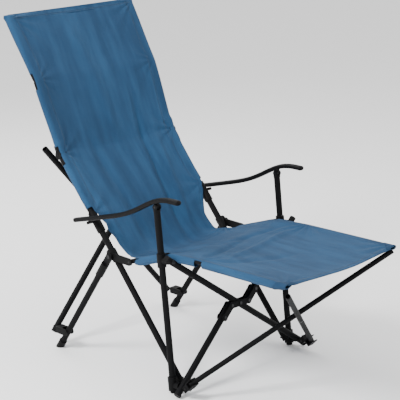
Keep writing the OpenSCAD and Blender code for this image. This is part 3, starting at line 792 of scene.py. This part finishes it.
class LOUNGER_OT_arms(bpy.types.Operator):
    """The two armrests: a flat oval bar along a bent line, with the lug that the leg's fork holds"""

    bl_idname = "lounger.arms"
    bl_label = "Armrests"

    def execute(self, context):
        p = context.scene.lounger_frame
        finish = nylon_material()
        for side, label in ((-1, "R"), (1, "L")):
            bar, bar_faces = self.bar(side, p.arm_width, p.arm_height)
            lug, lug_faces = self.lug(side)
            place, quads = join_rows([(bar, bar_faces), (lug, lug_faces)])
            arm = make_piece("armrest_" + label, place, quads, finish)
            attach(arm, "arm_" + label)
            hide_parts("arm_" + label)
        return {"FINISHED"}

    out = 0.263  # distance of each bar from the middle of the lounger
    steps, sides = 120, 40  # faces along a bar and round it
    outline = 48  # points round a lug

    def height(self, y):
        """The bar's line: a straight rise towards the front, plus a Gaussian crown over the front leg."""
        return 0.4355 + 0.276 * (0.413 - y) + 0.0325 * np.exp(-(((y - 0.048) / 0.098) ** 2))

    def bar(self, side, wide, tall):
        """A superellipse of power 2.6 carried along the line and shrunk at both ends as a quarter circle."""
        steps, sides = self.steps, self.sides
        t = np.linspace(0, 1, steps + 1)
        y = -0.031 + 0.444 * (0.5 - 0.5 * np.cos(np.pi * t))
        z = self.height(y)
        run = np.r_[0, np.cumsum(np.hypot(np.diff(y), np.diff(z)))]
        near = np.minimum(run, run[-1] - run)
        shrink = np.sqrt(1 - (1 - np.clip(near / 0.0085, 0, 1)) ** 2) * 0.999 + 0.001
        a = np.linspace(0, 2 * np.pi, sides + 1)[:-1]
        power = 2 / 2.6
        ox = np.sign(np.cos(a)) * np.abs(np.cos(a)) ** power * wide / 2
        on = np.sign(np.sin(a)) * np.abs(np.sin(a)) ** power * tall / 2
        groove = 0.0008 * np.exp(-(((on + 0.0012) / 0.0009) ** 2))
        ox = ox - np.sign(ox) * groove
        way = np.stack([np.gradient(y), np.gradient(z)], 1)
        way /= np.linalg.norm(way, axis=1, keepdims=True)
        x = side * self.out + ox[None] * shrink[:, None]
        n = on[None] * shrink[:, None]
        place = np.stack([x, y[:, None] - way[:, 1:] * n - MID_Y, z[:, None] + way[:, :1] * n], -1)
        quads, caps = closed_rings(steps + 1, sides)
        return place.reshape(-1, 3), np.concatenate([quads[:, ::-1], caps[0], caps[1][:, ::-1]])

    def lug(self, side):
        """A plate 8 mm thick with a stadium outline from the pin up to the bar, its edges bevelled by 1 mm."""
        pin = np.array([0.066, 0.545])
        top = np.array([0.066, float(self.height(np.array(0.066))) - 0.002])
        r = 0.0075
        a = np.linspace(0, 2 * np.pi, self.outline + 1)[:-1]
        middle = np.where(np.sin(a)[:, None] > 0, top[None], pin[None])
        rings = []
        for x, inset in ((-0.004, 0.001), (-0.003, 0.0), (0.003, 0.0), (0.004, 0.001)):
            out = middle + (r - inset) * np.stack([np.cos(a), np.sin(a)], 1)
            rings.append(np.stack([np.full(self.outline, side * 0.257 + x), out[:, 0] - MID_Y, out[:, 1]], -1))
        quads, caps = closed_rings(len(rings), self.outline)
        return np.concatenate(rings), np.concatenate([quads, caps[0][:, ::-1], caps[1]])


class LOUNGER_OT_finishes(bpy.types.Operator):
    """Powder coat, moulded nylon and zinc plate on the frame's own pieces"""

    bl_idname = "lounger.finishes"
    bl_label = "Frame Finishes"

    def execute(self, context):
        p = context.scene.lounger_frame
        nylon = nylon_material()
        finishes = {
            "frame_tube": paint_finish("Black powder coat", tuple(p.paint), tuple(p.rubbed)),
            "rivets": rivet_finish("Zinc plate", tuple(p.zinc)),
        }
        parts = {s["node"]: s["material_slot"] for s in frame["record"]["subparts"]}
        for name, node in frame["nodes"].items():
            made = finishes.get(parts.get(name), nylon)
            if not node.data.materials:
                node.data.materials.append(made)
            for place in node.material_slots:
                place.material = made
        return {"FINISHED"}


class LOUNGER_OT_stage(bpy.types.Operator):
    """A pale floor, soft lamps and the camera"""

    bl_idname = "lounger.stage"
    bl_label = "Studio"

    def execute(self, context):
        p = context.scene.lounger_studio
        f = Finish("Studio floor", Roughness=0.9)
        grain = f.noise(f.node("TexCoord").outputs["Object"], 3.0, 2.0)
        tone = tuple(p.floor)
        f.put(f.shader.inputs["Base Color"], f.mix(grain, tone, tuple(c * 0.985 for c in tone[:3]) + (1,)))
        corner = 40.0 * np.array([[-1, -1, 0], [1, -1, 0], [1, 1, 0], [-1, 1, 0]])
        floor = make_piece("studio_floor", corner, np.array([[0, 1, 2, 3]]), f.material)
        world = bpy.data.worlds.new("Soft daylight")
        context.scene.world = world
        world.use_nodes = True
        sky = world.node_tree.nodes["Background"]
        sky.inputs["Color"].default_value = (1.0, 1.0, 1.0, 1)
        sky.inputs["Strength"].default_value = 1.25
        aim = Vector((0, 0, 0.45))
        for name, place, size, power in (
            ("Key", (-2.6, 0.6, 2.9), 1.0, p.key),
            ("Fill", (1.8, -2.6, 2.0), 2.0, p.fill),
            ("Back", (0.8, 2.4, 2.2), 1.6, p.fill),
        ):
            lamp = bpy.data.lights.new(name, "AREA")
            lamp.size, lamp.energy = size, power
            made = bpy.data.objects.new(name, lamp)
            made.location = place
            made.rotation_mode = "QUATERNION"
            made.rotation_quaternion = (aim - Vector(place)).to_track_quat("-Z", "Y")
            context.scene.collection.objects.link(made)
        camera = bpy.data.cameras.new("Camera")
        camera.lens, camera.sensor_width = p.lens, 36.0
        camera.clip_start, camera.clip_end = 0.05, 100.0
        made = bpy.data.objects.new("Camera", camera)
        made.location = (-2.898, -2.798, 1.6526)
        made.rotation_mode = "QUATERNION"
        view = Vector((-0.0724, -0.0791, 0.5253)) - made.location
        made.rotation_quaternion = view.to_track_quat("-Z", "Y")
        context.scene.collection.objects.link(made)
        context.scene.camera = made
        return {"FINISHED"}


class LOUNGER_PT_panel(bpy.types.Panel):
    """Lists the lounger's pieces and their sizes"""

    bl_idname = "LOUNGER_PT_panel"
    bl_label = "Folding Lounger"
    bl_space_type = "VIEW_3D"
    bl_region_type = "UI"
    bl_category = "Lounger"

    def draw(self, context):
        for holder, operators in GROUPS:
            box = self.layout.box()
            values = getattr(context.scene, holder)
            for label in values.bl_rna.properties.keys():
                if label not in ("rna_type", "name"):
                    box.prop(values, label)
            for made in operators:
                box.operator(made.bl_idname)


GROUPS = (
    ("lounger_studio", (LOUNGER_OT_stage,)),
    ("lounger_frame", (LOUNGER_OT_finishes, LOUNGER_OT_arms)),
    ("lounger_cloth", (LOUNGER_OT_back, LOUNGER_OT_seat)),
)
HOLDERS = {"lounger_studio": Studio, "lounger_frame": Frame, "lounger_cloth": Cloth}
CLASSES = (
    *HOLDERS.values(), LOUNGER_OT_stage, LOUNGER_OT_finishes, LOUNGER_OT_arms, LOUNGER_OT_back,
    LOUNGER_OT_seat, LOUNGER_PT_panel,
)


def register():
    for made in CLASSES:
        bpy.utils.register_class(made)
    for name, holder in HOLDERS.items():
        setattr(bpy.types.Scene, name, bpy.props.PointerProperty(type=holder))


def unregister():
    for name in HOLDERS:
        delattr(bpy.types.Scene, name)
    for made in reversed(CLASSES):
        bpy.utils.unregister_class(made)


def main():
    """Makes every piece in order."""
    register()
    bpy.ops.lounger.stage()
    bpy.ops.lounger.finishes()
    bpy.ops.lounger.arms()
    bpy.ops.lounger.back()
    bpy.ops.lounger.seat()


if __name__ == "__main__":
    main()
